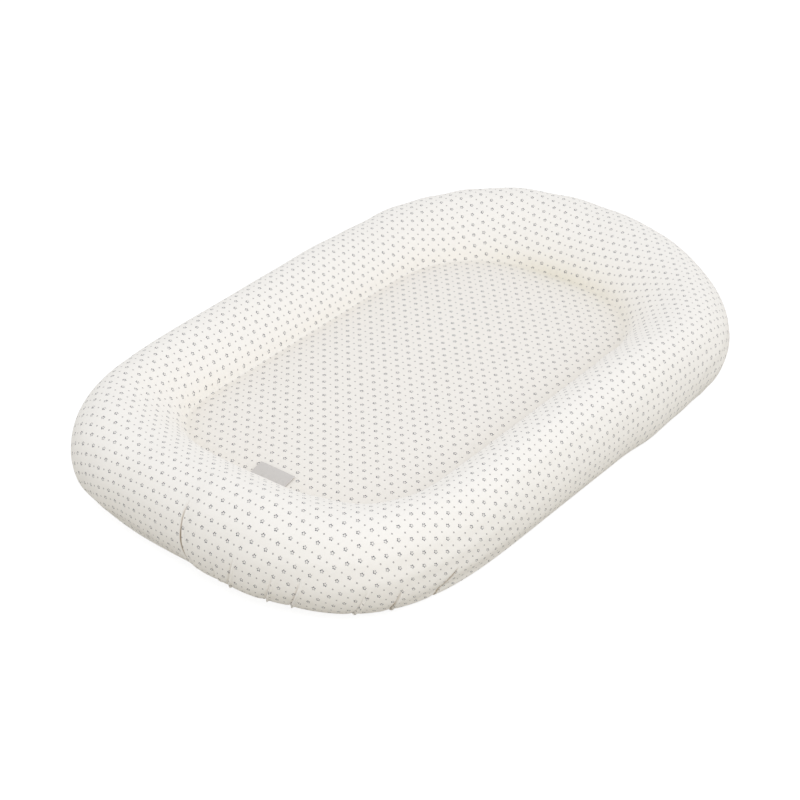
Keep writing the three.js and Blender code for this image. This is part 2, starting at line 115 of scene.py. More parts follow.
OUTLINE_STEPS = 1600
SECTION_STEPS = 360
EVEN_STATIONS = 520
STATION_SAMPLES = 20000
TUCK_STATION_STEP = 0.5 * MM
TUCK_STATION_REACH = 7 * MM
TUCK_STATION_FADE = 1.5
COVER_ROWS = 136
COVER_CLOSE_ROWS = 66
COVER_CLOSE_SHARE = 0.3
MAT_ROWS = 42
MAT_ROW_POWER = 1.6
STUFFING_ROWS = 88
EDGE_TAPE_ROWS = 5
WALL_ROWS = 9
FOLD_STEPS = 9
BASE_EDGE_ROWS = 36
BASE_INNER_ROWS = 24
LABEL_ROWS = 24
LABEL_COLUMNS = 40
CARE_ROWS = 30
CARE_COLUMNS = 20
ZIP_TAPE_STEPS = 160
ZIP_TAPE_COLUMNS = 9
COIL_STEPS = 14
COIL_SIDES = 6
STITCH_RINGS = 6
STITCH_SIDES = 6

# Smoothing of the sections, and the crease at the mat's seam with its eased corner

SMOOTHING_REACH = 3
SMALL_TURN = 0.0005
NO_LENGTH = 1e-12
CREASE_DROP = 1.0 * MM
CREASE_REACH = 11 * MM
CREASE_HALF_GAP = 0.01 * MM
EASE_SMOOTHING = 4 * MM
EASE_REACH = 18 * MM
EASE_STEP = 0.5 * MM
EASE_STEPS = 48
SECTION_SMOOTHING = 7 * MM

# Tucks at the foot end

TUCKS = [
    # start turn, start place, turn at the outer seam, bow, groove and ridge in mm, place from which the
    # painted shade is dark
    (0.5024, 1.42, 0.5089, -0.0139, 3.8, 0.9, 1.75),
    (0.5205, 2.05, 0.5195, 0, 1.2, 1.0, 1.8),
    (0.5335, 1.80, 0.5235, 0, 1.3, 2.2, 1.8),
    (0.5525, 1.86, 0.5430, 0, 1.1, 2.3, 1.8),
    (0.5650, 1.84, 0.5550, 0, 1.4, 2.4, 1.8),
    (0.5930, 1.95, 0.5835, 0, 0.9, 1.8, 1.8),
    (0.6078, 2.04, 0.6000, 0, 2.6, 1.8, 2.25),
    (0.6362, 2.08, 0.6212, 0, 3.6, 0.5, 1.8),
]
TUCK_END_PLACES = (2.8, 3)
TUCK_RISE = 0.3
TUCK_GROOVE_WIDTH = 0.85 * MM
TUCK_RIDGE_OFFSET = 2.5 * MM
TUCK_RIDGE_WIDTH = 1.6 * MM
TUCK_PULL = 0.8 * MM
TUCK_PULL_WIDTH = 6 * MM

# Painted shade in the tucks and along the crease, from 0 to 1

TUCK_FULL_SHADE_DEPTH = 2.8 * MM
TUCK_SHADE_WIDTH = 1 * MM
TUCK_SHADE_RISE = 0.25
TUCK_SHADE_ABOVE = 0.25
CREASE_SHADE = 0.1
CREASE_SHADE_REACH = 20 * MM
DEEPER_SHADES = [
    # turn, how far it spreads in turns, how much darker the painted shade is there
    (0.000, 0.055, 0.85),
    (0.415, 0.035, 0.10),
    (0.925, 0.040, 0.25),
]

# Fullness of the stuffing

SWELLS = [
    # turn, how far the stuffing stands out beyond the plain form there in mm
    (0.000, 0.5),
    (0.030, 6.0),
    (0.058, 9.0),
    (0.085, 6.0),
    (0.112, 0),
    (0.135, -4.0),
    (0.160, -7.0),
    (0.185, -4.0),
    (0.215, -0.5),
    (0.300, -0.5),
    (0.360, 0),
    (0.390, 2.5),
    (0.420, 3.0),
    (0.440, -2.0),
    (0.458, -6.0),
    (0.476, -4.5),
    (0.495, -2.5),
    (0.512, 2.0),
    (0.535, 3.0),
    (0.560, -0.5),
    (0.600, -2.0),
    (0.630, -5.0),
    (0.660, -4.0),
    (0.700, -2.5),
    (0.760, -1.5),
    (0.785, 2.5),
    (0.810, 0.5),
    (0.840, -3.0),
    (0.920, -4.0),
    (0.960, -1.0),
]
SWELL_RISE_PLACES = (0.4, 1.1)
SWELL_FALL_PLACES = (2.45, 2.65)

# Waves and puckers; a wander is its slowest and fastest wave round the ring, their number and a seed

STUFFING_WAVE = 1.0 * MM
STUFFING_WANDER = (5, 17, 6, 7)
SKEWED_WANDER = (4, 13, 5, 8)
WAVE_END_PLACES = (2.2, OUTER_SEAM_PLACE)
SEAM_PUCKER = 0.7 * MM
SEAM_EDGE = 4 * MM
SEAM_PUCKER_REACH = 13 * MM
COVER_PUCKERS = (90, 190, 7, 9)
MAT_PUCKERS = (80, 170, 7, 10)
WALL_BOW = 0.1 * MM
WALL_WANDER = (20, 60, 6, 15)
WANDER_LEAST = 0.6
MAT_WAVE = 0.8 * MM
MAT_WAVES = 9
MAT_WAVE_LENGTHS = (90 * MM, 210 * MM)
MAT_WAVE_SEED = 12

# Pieces inside and underneath, and the labels

STUFFING_GAP = 0.8 * MM
STUFFING_PLACES = (0.02, 4.98)
TAPE_RISE_PLACES = (2.44, 2.54)
TAPE_FALL_PLACES = (2.76, 2.86)
BINDING_TOP = 53.8 * MM
BINDING_TAPE = 0.45 * MM
PAD_SIDE_SLACK = 1 * MM
PAD_EDGE_ROUND = 4 * MM
PAD_SIDE_PROFILE = [
    # share of the side's height, how far it stands back
    (0.9, 0.6 * MM),
    (0.7, 0.2 * MM),
    (0.5, 0),
    (0.3, 0.2 * MM),
    (0.12, 1 * MM),
]
GROOVE_HALF_WIDTH = 20 * MM
GROOVE_PAST_ZIP = 17 * MM
GROOVE_DEPTH = 3.4 * MM
GROOVE_SLOPE = 5 * MM
BASE_TARGET_SHARE = 0.985
LABEL_START = 0.8 * MM
LABEL_LIFT = 1.2 * MM
LABEL_LIFT_SHARES = (0.1, 1)
LABEL_BOW = 0.3
LABEL_BOW_TURN = 2.2
LABEL_BOW_START = 1
CARE_DROOP = 0.8 * MM
CARE_RIPPLE = 0.5
CARE_RIPPLE_ALONG = 7
CARE_RIPPLE_OUT = 2
COIL_PITCH = 1.6 * MM
COIL_WIRE = 0.35 * MM
COIL_FLATNESS = 0.6
STITCH_LENGTH = 2.3 * MM
STITCH_PITCH = 3 * MM
STITCH_RADIUS = 0.22 * MM
STITCH_TIP = 0.15
STITCH_FROM_EDGE = 2.5 * MM

# Colours: a cloth's ground and what it is mottled with, inks, and the painted shade of creases and tucks

BUMPER_COTTON = ((0.935, 0.898, 0.84), (0.915, 0.868, 0.795))
# The mat's cotton is the bumper's cotton made darker: painted shade on the mat that the bumper shelters
MAT_COTTON_WITH_PAINTED_SHADE = ((0.92, 0.875, 0.81), (0.90, 0.85, 0.775))
TAPE_COTTON = ((0.80, 0.77, 0.71), (0.76, 0.72, 0.65))
GREY_YARN = ((0.67, 0.635, 0.60), (0.60, 0.57, 0.535))
SATIN_YARN = ((0.88, 0.875, 0.86), (0.84, 0.835, 0.82))
FLOWER_INK = (0.045, 0.05, 0.07)
DOT_INK = (0.38, 0.36, 0.34)
# Painted shade: the warm darker colour painted into the crease, where shade falls
PAINTED_CREASE_SHADE_COLOUR = (0.82, 0.765, 0.64)
# Painted shade: the brown painted into the depth of the tucks
PAINTED_TUCK_SHADE_COLOUR = (0.36, 0.25, 0.13)

# Materials; noises are waves to the metre and detail, bumps are strength and depth

CLOTHS = [
    # name, colours, whether it is printed, pitch of the weave, roughness, sheen
    ("printed_cotton", BUMPER_COTTON, True, 0.55 * MM, 0.88, 0.12),
    # Same print on the darker mat cotton, as painted shade
    ("printed_cotton_mat_painted_shade", MAT_COTTON_WITH_PAINTED_SHADE, True, 0.55 * MM, 0.88, 0.12),
    ("plain_cotton", BUMPER_COTTON, False, 0.55 * MM, 0.88, 0.12),
    ("cotton_tape", TAPE_COTTON, False, 0.9 * MM, 0.88, 0.12),
    ("woven_grey", GREY_YARN, False, 0.4 * MM, 0.7, 0.12),
    ("satin", SATIN_YARN, False, 0.25 * MM, 0.45, 0.3),
]
FIBRES = [
    # name, colour
    ("polyester_fibre", (0.9, 0.9, 0.89)),
    ("sewing_thread", (0.86, 0.84, 0.79)),
]
HARD_MATERIALS = [
    # name, colour, roughness, metallic, grains to the metre
    ("nylon", (0.86, 0.84, 0.80), 0.38, 0, 900),
    ("lacquered_zinc", (0.80, 0.785, 0.75), 0.36, 0.35, 1400),
]
MOTTLE_NOISE = (9, 3)
MOTTLE_STRENGTH = 0.5
SLUB_NOISE = (420, 2)
SLUB_STRENGTH = 0.12
SLUB_RANGE = (0.2, 0.8)
ROUGHNESS_SPREAD = 0.06
SHEEN_ROUGHNESS = 0.6
CLOTH_SPECULAR = 0.25
WEAVE_SHARE = 0.35
WEAVE_BUMP = (0.35, 0.12 * MM)
CRUMPLE_NOISE = (42, 3)
CRUMPLE_BUMP = (0.5, 0.7 * MM)
FIBRE_NOISE = (260, 6)
FIBRE_SHADE = 0.92
FIBRE_SHEEN = 0.2
FIBRE_BUMP = (0.6, 1 * MM)
GRAIN_DETAIL = 4
GRAIN_SHADE = 0.93
GRAIN_RANGE = (0.3, 0.7)
GRAIN_SMOOTHER = 0.06
GRAIN_ROUGHER = 0.08
GRAIN_BUMP = (0.15, 0.05 * MM)
EDGE_ROUND = 0.25 * MM
EDGE_SAMPLES = 6

# Print: two turned blooms on a lattice, and dots between them

PRINT_PITCHES = (23.3 * MM, 19.38 * MM)
PRINT_STARTS = (-84.9 * MM, 1.5 * MM)
BLOOMS = [
    # shift in pitches along and across, how far it is turned in radians
    ((0, 0), 0.35),
    ((0.5, 0.5), 2.75),
]
DOTS = [
    # shift in pitches along and across
    (0.5, 0),
    (0, 0.5),
]
PETALS = 5
BLOOM_RING = 1.68 * MM
BLOOM_PETAL = 0.82 * MM
DARK_FROM = -0.9 * MM
DARK_TO = 1.0 * MM
PALE_SIDE = 0.55
DOT_RADIUS = 1.05 * MM
PRINT_EDGE = 0.16 * MM
PRINT_WOBBLE = 0.5 * MM
WEAR_RANGE = (0.25, 0.6)
WORN_INK = 0.72

# Studio

FLOOR_HALF = 7
FLOOR_BOUNCE = (0.50, 0.475, 0.41)
FLOOR_SHADOW = (0.3, 0.3, 0.3)
FLOOR_GLOW = 0.84
STUDIO_LIGHT = (0.945, 0.965, 1.0)
WHITE = (1.0, 1.0, 1.0)
SKY_AT_HORIZON = 1.16
SKY_OVERHEAD = 0.81
KEY_PLACE = Vector((-0.9, -1.9, 1.8))
KEY_SIZE = 2.0
KEY_POWER = 14
CAMERA_PLACE = Vector((-1.5065, -1.1164, 1.1935))
CAMERA_HEADING = Vector((0.6687, 0.5160, -0.5352))
CAMERA_LENS = 79.74


def smoothstep(value, low, high):
    share = np.clip((value - low) / (high - low), 0, 1)
    return share * share * (3 - 2 * share)


def plateau(value, rise, fall):
    return smoothstep(value, *rise) * (1 - smoothstep(value, *fall))


def hill(distance, width):
    return np.exp(-((distance / width) ** 2))


def running_total(steps):
    return np.concatenate([[0], np.cumsum(steps)])


# Points from coordinates that each run along one axis of a grid, or both
def grid_points(*coordinates):
    return np.stack(np.broadcast_arrays(*coordinates), -1)


def unit(vectors):
    return vectors / (np.linalg.norm(vectors, axis=-1, keepdims=True) + NO_LENGTH)


# Weights for smoothing over even distances
def smoothing_weights(distances, sigma):
    weights = np.exp(-0.5 * (distances / sigma) ** 2)
    return weights / weights.sum()


# Signed distance from one turn to another, the short way round
def turn_gap(turns, middle):
    return (turns - middle + 0.5) % 1 - 0.5


# Outlines seen from above, addressed by a share of a turn from the head tip


def quarter(reach, half_width, straight, exponent):
    angle = np.linspace(0, FULL_CIRCLE / 4, OUTLINE_STEPS + 1)
    x = straight + (reach - straight) * np.clip(np.cos(angle), 0, 1) ** (2 / exponent)
    y = half_width * np.sin(angle) ** (2 / exponent)
    x = np.append(x, 0)
    y = np.append(y, half_width)
    return x, y, running_total(np.hypot(np.diff(x), np.diff(y)))


def outline_points(outline, turns):
    turns = np.asarray(turns, float) % 1
    points = np.zeros(turns.shape + (2,))
    for index in range(4):
        chosen = (turns >= index / 4) & (turns < (index + 1) / 4)
        within = turns[chosen] * 4 - index
        from_tip = within if index in (0, 2) else 1 - within
        x, y, lengths = outline["head" if index in (0, 3) else "foot"]
        target = from_tip * lengths[-1]
        px = np.interp(target, lengths, x)
        py = np.interp(target, lengths, y)
        if index in (1, 2):
            px = -px
        if index in (2, 3):
            py = -py
        points[chosen] = np.stack([px, py * (1 + outline["widening"] * px / (LENGTH / 2))], -1)
    return points


BUMPER_OUTLINE = {
    "head": quarter(LENGTH / 2, WIDTH / 2, BUMPER_STRAIGHT_TO_HEAD, BUMPER_HEAD_EXPONENT),
    "foot": quarter(LENGTH / 2, WIDTH / 2, BUMPER_STRAIGHT_TO_FOOT, BUMPER_FOOT_EXPONENT),
    "widening": HEAD_WIDENING_SHARE,
}
SEAM_OUTLINE = {
    "head": quarter(SEAM_HEAD_REACH, SEAM_HALF_WIDTH, SEAM_STRAIGHT_TO_HEAD, SEAM_HEAD_EXPONENT),
    "foot": quarter(SEAM_FOOT_REACH, SEAM_HALF_WIDTH, SEAM_STRAIGHT_TO_FOOT, SEAM_FOOT_EXPONENT),
    "widening": 0,
}
OUTER_PERIMETER = 2 * (BUMPER_OUTLINE["head"][2][-1] + BUMPER_OUTLINE["foot"][2][-1])

# Section of the bumper: distance out from the seam and height, by place


def quarter_powers(share, exponent):
    angle = FULL_CIRCLE / 4 * share
    return np.clip(np.cos(angle), 0, 1) ** (2 / exponent), np.sin(angle) ** (2 / exponent)


def section(reach, place):
    crest = CREST_SHARE * reach
    floor_outer = FLOOR_OUTER_SHARE * reach
    floor_inner = FLOOR_INNER_SHARE * reach
    leg = np.minimum(np.floor(place), LAST_PLACE - 1)
    share = place - leg
    slope_falling, slope_rising = quarter_powers(share, INNER_SLOPE_EXPONENT)
    falling, rising = quarter_powers(share, OUTER_EXPONENT)
    outs = [
        CREASE_HALF_GAP + (crest - CREASE_HALF_GAP) * (1 - slope_falling),
        crest + (reach - crest) * rising,
        floor_outer + (reach - floor_outer) * falling,
        floor_outer + (floor_inner - floor_outer) * share,
        floor_inner * (1 - share),
    ]
    ups = [
        SEAM_HEIGHT + (BUMPER_HEIGHT - SEAM_HEIGHT) * slope_rising,
        BULGE_HEIGHT + (BUMPER_HEIGHT - BULGE_HEIGHT) * falling,
        BULGE_HEIGHT * (1 - rising),
        0 * share,
        MAT_BASE_HEIGHT * smoothstep(share, 0, 1),
    ]
    legs = [leg == index for index in range(LAST_PLACE)]
    return np.select(legs, outs), np.select(legs, ups)


# Smooths a line of points, with a place for each, along its own length; both ends are held
def smooth_line(line, sigma):
    lengths = running_total(np.linalg.norm(np.diff(line[:, :2], axis=0), axis=1))
    even = np.linspace(0, lengths[-1], len(line))
    resampled = np.stack([np.interp(even, lengths, values) for values in line.T], -1)
    step = even[1]
    half = int(SMOOTHING_REACH * sigma / step)
    weights = smoothing_weights(np.arange(-half, half + 1) * step, sigma)
    before = 2 * resampled[0] - resampled[half:0:-1]
    after = 2 * resampled[-1] - resampled[-2 : -half - 2 : -1]
    padded = np.concatenate([before, resampled, after])
    smoothed = np.stack([np.convolve(values, weights, "valid") for values in padded.T], -1)
    return smoothed, even


# Stations round the bumper: even ones, and closer ones across the tucks
def station_turns():
    density = np.ones(STATION_SAMPLES)
    at = np.arange(STATION_SAMPLES) / STATION_SAMPLES
    close = OUTER_PERIMETER / EVEN_STATIONS / TUCK_STATION_STEP
    for start_turn, _, seam_turn, *_ in TUCKS:
        middle = (start_turn + seam_turn) / 2
        half = abs(start_turn - seam_turn) / 2 + TUCK_STATION_REACH / OUTER_PERIMETER
        nearness = 1 - smoothstep(abs(at - middle), half, TUCK_STATION_FADE * half)
        density = np.maximum(density, 1 + (close - 1) * nearness)
    total = running_total(density)
    count = int(round(EVEN_STATIONS * total[-1] / STATION_SAMPLES))
    samples = np.arange(STATION_SAMPLES + 1) / STATION_SAMPLES
    turns = np.interp(np.arange(count) / count * total[-1], total, samples)
    turns[np.argmin(abs(turns - FOOT_TURN))] = FOOT_TURN
    return turns


TURNS = station_turns()
SEAM = outline_points(SEAM_OUTLINE, TURNS)
OUTER = outline_points(BUMPER_OUTLINE, TURNS)
REACH = np.linalg.norm(OUTER - SEAM, axis=1)
OUTWARD = (OUTER - SEAM) / REACH[:, None]
AHEAD, BEHIND = (outline_points(SEAM_OUTLINE, TURNS + step) for step in (SMALL_TURN, -SMALL_TURN))
ALONG = unit(AHEAD - BEHIND)
NORMAL = np.stack([ALONG[:, 1], -ALONG[:, 0]], -1)
SEAM_STEPS = np.linalg.norm(np.roll(SEAM, -1, 0) - SEAM, axis=1)


# A smooth, repeatable wander round the ring, made of a few waves
def wander(turns, slowest, fastest, count, seed):
    chance = np.random.default_rng(seed)
    total = np.zeros_like(turns)
    for _ in range(count):
        waves = chance.integers(slowest, fastest + 1)
        wave = np.sin(FULL_CIRCLE * (waves * turns + chance.random()))
        total += wave * chance.uniform(WANDER_LEAST, 1)
    return total / math.sqrt(count)


# How far the cloth is drawn down at a distance from the mat's seam
def crease_drop(distance):
    return CREASE_DROP * np.clip(1 - distance / CREASE_REACH, 0, 1) ** 2


# Each station's whole section, smoothed, from the crease to the mat's base
def smoothed_sections():
    places = np.linspace(0, LAST_PLACE, SECTION_STEPS)
    sections = []
    for reach in REACH:
        out, up = section(np.full_like(places, reach), places)
        sections.append(smooth_line(np.stack([out, up - crease_drop(out), places], -1), SECTION_SMOOTHING))
    return sections


# Height of the mat's top at a distance in from its seam
def mat_height_at(inwards, reach):
    share = np.clip(1 - inwards / reach, 0, 1)
    crown = MAT_CROWN * (1 - share**MAT_CROWN_EXPONENT)
    return SEAM_HEIGHT + crown - crease_drop(inwards)


SECTIONS = smoothed_sections()


# How the cloth moves, out and up, beside the mat's seam, to ease the corner there
def corner_moves():
    distances = np.arange(-EASE_STEPS, EASE_STEPS + 1) * EASE_STEP
    weights = smoothing_weights(distances, EASE_SMOOTHING)
    inner = distances < 0
    window = 1 - smoothstep(abs(distances), EASE_REACH / 2, EASE_REACH)
    moves = np.zeros((len(TURNS), len(distances), 2))
    for i, (line, lengths) in enumerate(SECTIONS):
        out = np.where(inner, distances, np.interp(distances, lengths, line[:, 0]))
        mat = mat_height_at(-distances, np.linalg.norm(SEAM[i]))
        up = np.where(inner, mat, np.interp(distances, lengths, line[:, 1]))
        for k, values in enumerate((out, up)):
            padded = np.pad(values, EASE_STEPS, "reflect", reflect_type="odd")
            moves[i, :, k] = (np.convolve(padded, weights, "valid") - values) * window
    return distances, moves


EASE_DISTANCES, EASE_MOVES = corner_moves()


def ease_corner(points, distances):
    for i, row in enumerate(distances):
        out = np.interp(row, EASE_DISTANCES, EASE_MOVES[i, :, 0])
        points[i, :, :2] += OUTWARD[i] * out[:, None]
        points[i, :, 2] += np.interp(row, EASE_DISTANCES, EASE_MOVES[i, :, 1])


# Points of the plain bumper, their distance along the section from the crease, and their place
def section_grid(first_place, last_place, rows):
    points = np.zeros((len(TURNS), len(rows), 3))
    arcs = np.zeros((len(TURNS), len(rows)))
    row_places = np.zeros((len(TURNS), len(rows)))
    for i, (line, lengths) in enumerate(SECTIONS):
        first, last = np.interp((first_place, last_place), line[:, 2], lengths)
        arcs[i] = first + (last - first) * rows
        out = np.interp(arcs[i], lengths, line[:, 0])
        points[i, :, :2] = SEAM[i] + OUTWARD[i] * out[:, None]
        points[i, :, 2] = np.interp(arcs[i], lengths, line[:, 1])
        row_places[i] = np.interp(arcs[i], lengths, line[:, 2])
    ease_corner(points, arcs)
    return points, arcs, row_places


def grid_normals(points):
    around = np.roll(points, -1, 0) - np.roll(points, 1, 0)
    across = np.gradient(points, axis=1)
    return unit(np.cross(across, around))


# The tucks' strength and distance at every point of a grid
def tuck_lines(row_places):
    for start_turn, start_place, seam_turn, bow, depth, ridge, painted_shade_place in TUCKS:
        run = (row_places - start_place) / (OUTER_SEAM_PLACE - start_place)
        path = start_turn + (seam_turn - start_turn) * run + bow * run * (1 - run)
        distance = turn_gap(TURNS[:, None], path) * OUTER_PERIMETER
        strength = smoothstep(run, 0, TUCK_RISE) * (1 - smoothstep(row_places, *TUCK_END_PLACES))
        yield distance, strength, depth * MM, ridge * MM, painted_shade_place


def tuck_relief(row_places):
    relief = np.zeros(row_places.shape)
    for distance, strength, depth, ridge, _ in tuck_lines(row_places):
        groove = depth * hill(distance, TUCK_GROOVE_WIDTH)
        raised = ridge * hill(distance - TUCK_RIDGE_OFFSET, TUCK_RIDGE_WIDTH)
        relief += strength * (raised - groove - TUCK_PULL * hill(distance, TUCK_PULL_WIDTH))
    return relief


# Painted shade: how dark the cloth is painted along the crease and in the depth of its tucks


def crease_shades(distances):
    shade = np.full(len(TURNS), CREASE_SHADE)
    for turn, width, depth in DEEPER_SHADES:
        shade += depth * hill(turn_gap(TURNS, turn), width)
    return shade[:, None] * np.exp(-distances / CREASE_SHADE_REACH)


def painted_tuck_shades(row_places):
    painted_shades = np.zeros(row_places.shape)
    for distance, strength, depth, _, painted_shade_place in tuck_lines(row_places):
        # Painted shade: weaker above its place and full below it, and deeper grooves get more
        low = smoothstep(row_places, painted_shade_place, painted_shade_place + TUCK_SHADE_RISE)
        low = TUCK_SHADE_ABOVE + (1 - TUCK_SHADE_ABOVE) * low
        fullness = depth / TUCK_FULL_SHADE_DEPTH
        groove = hill(distance, TUCK_SHADE_WIDTH * fullness) * fullness**2
        painted_shades = np.maximum(painted_shades, np.minimum(strength * groove * low, 1))
    return painted_shades


# Fullness of the stuffing by turn, eased from each turn of the list to the next
def swell(row_places):
    turns = np.array([entry[0] for entry in SWELLS] + [1.0])
    heights = np.array([entry[1] for entry in SWELLS] + [SWELLS[0][1]]) * MM
    index = np.clip(np.searchsorted(turns, TURNS, "right") - 1, 0, len(turns) - 2)
    share = smoothstep(TURNS, turns[index], turns[index + 1])
    height = heights[index] + (heights[index + 1] - heights[index]) * share
    return height[:, None] * plateau(row_places, SWELL_RISE_PLACES, SWELL_FALL_PLACES)


# Small puckers beside the mat's seam
def seam_puckers(distances, puckers):
    fine = wander(TURNS[:, None] + 0 * distances, *puckers)
    near_seam = hill(distances - SEAM_PUCKER_REACH / 2, SEAM_PUCKER_REACH / 2)
    return SEAM_PUCKER * fine * near_seam * smoothstep(distances, 0, SEAM_EDGE)


# Soft unevenness of the stuffed bumper, its puckers, its fullness and its tucks
def bumper_relief(arcs, row_places):
    turns = TURNS[:, None] + 0 * arcs
    away = smoothstep(arcs, 0, 2 * SEAM_PUCKER_REACH) * (1 - smoothstep(row_places, *WAVE_END_PLACES))
    slow = wander(turns + arcs, *STUFFING_WANDER) * wander(turns - 2 * arcs, *SKEWED_WANDER)
    waves = STUFFING_WAVE * slow * away
    return waves + seam_puckers(arcs, COVER_PUCKERS) + swell(row_places) + tuck_relief(row_places)


def skin_points(first_place, last_place, rows):
    points, arcs, row_places = section_grid(first_place, last_place, rows)
    points += grid_normals(points) * bumper_relief(arcs, row_places)[..., None]
    return points, arcs, row_places


# Faces of a grid of points: closed round the ring or open, and joined across too for a tube
def grid_faces(count, rows, closed=True, tube=False):
    faces = []
    for i in range(count if closed else count - 1):
        following = (i + 1) % count
        for j in range(rows if tube else rows - 1):
            after = (j + 1) % rows
            faces.append((i * rows + j, i * rows + after, following * rows + after, following * rows + j))
    return faces


def disc_faces(count, rows):
    faces = grid_faces(count, rows)
    hub = count * rows
    faces += [(hub, i * rows, (i + 1) % count * rows) for i in range(count)]
    return faces


def closed_disc_faces(count, rows):
    faces = grid_faces(count, rows)
    top_hub = count * rows
    for i in range(count):
        following = (i + 1) % count
        faces.append((top_hub, i * rows, following * rows))
        faces.append((top_hub + 1, following * rows + rows - 1, i * rows + rows - 1))
    return faces


def capped_tube_faces(count, sides):
    faces = grid_faces(count, sides, closed=False, tube=True)
    faces.append(tuple(range(sides)))
    faces.append(tuple(count * sides - 1 - k for k in range(sides)))
    return faces


def in_scene(name, data):
    made = bpy.data.objects.new(name, data)
    bpy.context.scene.collection.objects.link(made)
    return made


# An object from points and faces, with its flat cut and its painted shades; its open edges are sharp
def make_object(name, points, faces, flat=None, **painted_shades):
    mesh = bpy.data.meshes.new(name)
    mesh.from_pydata([tuple(p) for p in points.reshape(-1, 3)], [], faces)
    if flat is not None:
        layer = mesh.uv_layers.new(name="flat_cut")
        corner_points = np.zeros(len(mesh.loops), np.int32)
        mesh.loops.foreach_get("vertex_index", corner_points)
        layer.data.foreach_set("uv", flat.reshape(-1, 2)[corner_points].astype(np.float32).ravel())
    for painted_shade_name, values in painted_shades.items():
        layer = mesh.attributes.new(painted_shade_name, "FLOAT", "POINT")
        layer.data.foreach_set("value", values.astype(np.float32).ravel())
    mesh.shade_smooth()
    sides = np.zeros(len(mesh.loops), np.int32)
    mesh.loops.foreach_get("edge_index", sides)
    mesh.edges.foreach_set("use_edge_sharp", np.bincount(sides, minlength=len(mesh.edges)) == 1)
    mesh.validate()
    return in_scene(name, mesh)


def thicken(piece, thickness, offset=-1):
    solid = piece.modifiers.new("cloth", "SOLIDIFY")
    solid.thickness = thickness
    solid.offset = offset
    solid.use_even_offset = False


# Puts a piece on the body, with the material of its slot's name unless another is given
def place(piece, slot, *nodes, material=None):
    piece.data.materials.append(materials[material or slot])
    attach(piece, "lounger")
    if nodes:
        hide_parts(*nodes)


# A cloth from a grid of points, cut as it looks from above unless its flat cut is given
def add_cloth(name, slot, node, points, flat=None, thickness=CLOTH, offset=-1, closed=True, **painted_shades):
    flat = points[..., :2] if flat is None else flat
    cloth = make_object(name, points, grid_faces(*points.shape[:2], closed), flat, **painted_shades)
    thicken(cloth, thickness, offset)
    place(cloth, slot, node)
    return cloth


# Materials, kept under their names

materials = {}


def new_material(name):
    materials[name] = bpy.data.materials.new(name)
    materials[name].use_nodes = True
    tree = materials[name].node_tree
    return Maths(tree), tree.nodes["Principled BSDF"]


class Maths:
    """Short ways to add nodes to one node tree."""

    def __init__(self, tree):
        self.tree = tree

    def node(self, kind, **settings):
        made = self.tree.nodes.new(kind)
        for name, value in settings.items():
            setattr(made, name, value)
        return made

    def fill(self, node, sockets):
        for name, source in sockets.items():
            target = node.inputs[name]
            if isinstance(source, bpy.types.NodeSocket):
                self.tree.links.new(source, target)
            else:
                target.default_value = (*source, 1) if isinstance(source, tuple) else source
        return node.outputs[0]

    def do(self, operation, *inputs):
        return self.fill(self.node("ShaderNodeMath", operation=operation), dict(enumerate(inputs)))

    def length(self, x, y):
        return self.do("SQRT", self.do("ADD", self.do("MULTIPLY", x, x), self.do("MULTIPLY", y, y)))

    def rescale(self, *inputs):
        made = self.node("ShaderNodeMapRange", interpolation_type="SMOOTHSTEP")
        return self.fill(made, dict(enumerate(inputs)))

    def mix_colour(self, factor, first, second):
        made = self.node("ShaderNodeMix", data_type="RGBA")
        self.fill(made, {"Factor": factor, 6: first, 7: second})
        return made.outputs[2]

    def split(self, vector):
        made = self.node("ShaderNodeSeparateXYZ")
        self.fill(made, {0: vector})
        return made.outputs

    def noise(self, vector, scale, detail):
        made = self.node("ShaderNodeTexNoise")
        self.fill(made, {"Vector": vector, "Scale": scale, "Detail": detail})
        return made.outputs["Fac"]

    def bump(self, height, strength, distance, **normal):
        made = self.node("ShaderNodeBump")
        return self.fill(made, {"Height": height, "Strength": strength, "Distance": distance, **normal})


# Offset from the nearest point of the print's lattice, shifted by shares of its pitches
def lattice_offsets(maths, x, y, shifts):
    offsets = []
    for value, pitch, start, shift in zip((x, y), PRINT_PITCHES, PRINT_STARTS, shifts):
        cells = maths.do("DIVIDE", maths.do("SUBTRACT", value, start + shift * pitch), pitch)
        beyond = maths.do("SUBTRACT", cells, maths.do("ROUND", cells))
        offsets.append(maths.do("MULTIPLY", beyond, pitch))
    return offsets


def disc_mask(maths, x, y, radius):
    return maths.rescale(maths.length(x, y), radius - PRINT_EDGE, radius + PRINT_EDGE, 1, 0)


# A little flower: petals on a ring about an open middle, pale on one side and dark on the other
def flower_mask(maths, x, y, turned):
    along_x, along_y = math.cos(turned), math.sin(turned)
    along = maths.do("ADD", maths.do("MULTIPLY", x, along_x), maths.do("MULTIPLY", y, along_y))
    across = maths.do("SUBTRACT", maths.do("MULTIPLY", y, along_x), maths.do("MULTIPLY", x, along_y))
    radius = maths.length(along, across)
    slice_angle = FULL_CIRCLE / PETALS
    turns = maths.do("DIVIDE", maths.do("ARCTAN2", across, along), slice_angle)
    folded = maths.do("MULTIPLY", maths.do("SUBTRACT", turns, maths.do("ROUND", turns)), slice_angle)
    petal_x = maths.do("SUBTRACT", maths.do("MULTIPLY", radius, maths.do("COSINE", folded)), BLOOM_RING)
    petal_y = maths.do("MULTIPLY", radius, maths.do("SINE", folded))
    depth = maths.rescale(along, DARK_FROM, DARK_TO, PALE_SIDE, 1)
    return maths.do("MULTIPLY", depth, disc_mask(maths, petal_x, petal_y, BLOOM_PETAL))


